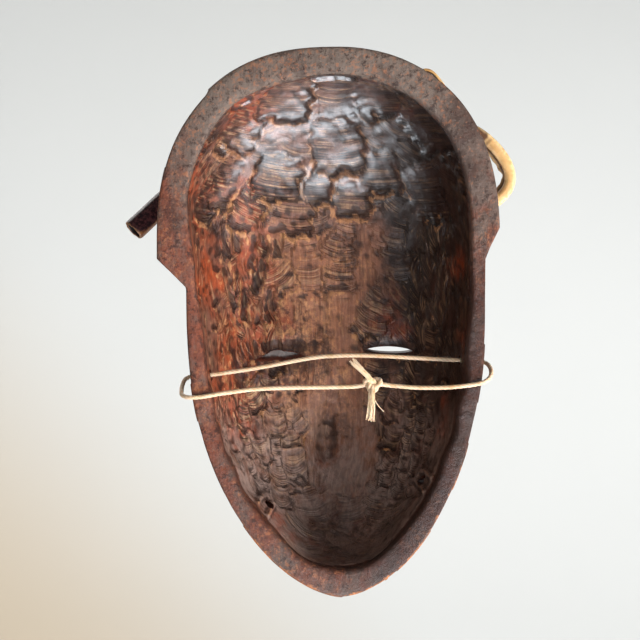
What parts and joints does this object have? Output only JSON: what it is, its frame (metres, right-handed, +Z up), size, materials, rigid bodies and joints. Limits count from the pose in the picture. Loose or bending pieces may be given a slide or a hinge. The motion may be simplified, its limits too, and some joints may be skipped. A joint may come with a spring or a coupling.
{
  "type": "carved wooden dance mask",
  "caption": "Hollow carved wooden dance mask with a capped head, eye slits, a tie cord through its side walls, a cane plume tube and rawhide trim",
  "frame": {"origin": "on the plane of the flat back rim, midway across the mask, at the level where the tie cord crosses the hollow, 112 mm above the tip of the chin", "axes": "+Z up toward the crown, +Y out of the hollow toward the wearer or the wall, so the face looks to -Y; +X is the wearer's left, where the cane tube is"},
  "size_m": [0.2121, 0.1038, 0.28],
  "materials": {
    "varnished_wood": "dark red-brown stain under a worn gloss varnish, rougher and greyer on the rim",
    "lacquered_cane": "dark lacquered hollow cane, orange-brown where the lacquer is worn",
    "rawhide": "dry tan rawhide, satin, darker in its folds",
    "iron": "dull forged iron",
    "waxed_cotton": "cream waxed cotton twine"
  },
  "bodies": {
    "root": {"mask_shell": "varnished_wood", "cane_tube": "lacquered_cane", "cane_lashing_lower": "rawhide", "cane_lashing_upper": "rawhide", "brow_band": "rawhide", "side_loop": "rawhide", "top_loop": "rawhide", "band_tack_1": "iron", "band_tack_2": "iron", "band_tack_3": "iron", "band_tack_4": "iron", "band_tack_5": "iron", "tie_cord": "waxed_cotton", "tie_knot": "waxed_cotton", "tie_tail_upper": "waxed_cotton", "tie_tail_lower": "waxed_cotton"}
  },
  "joints": []
}
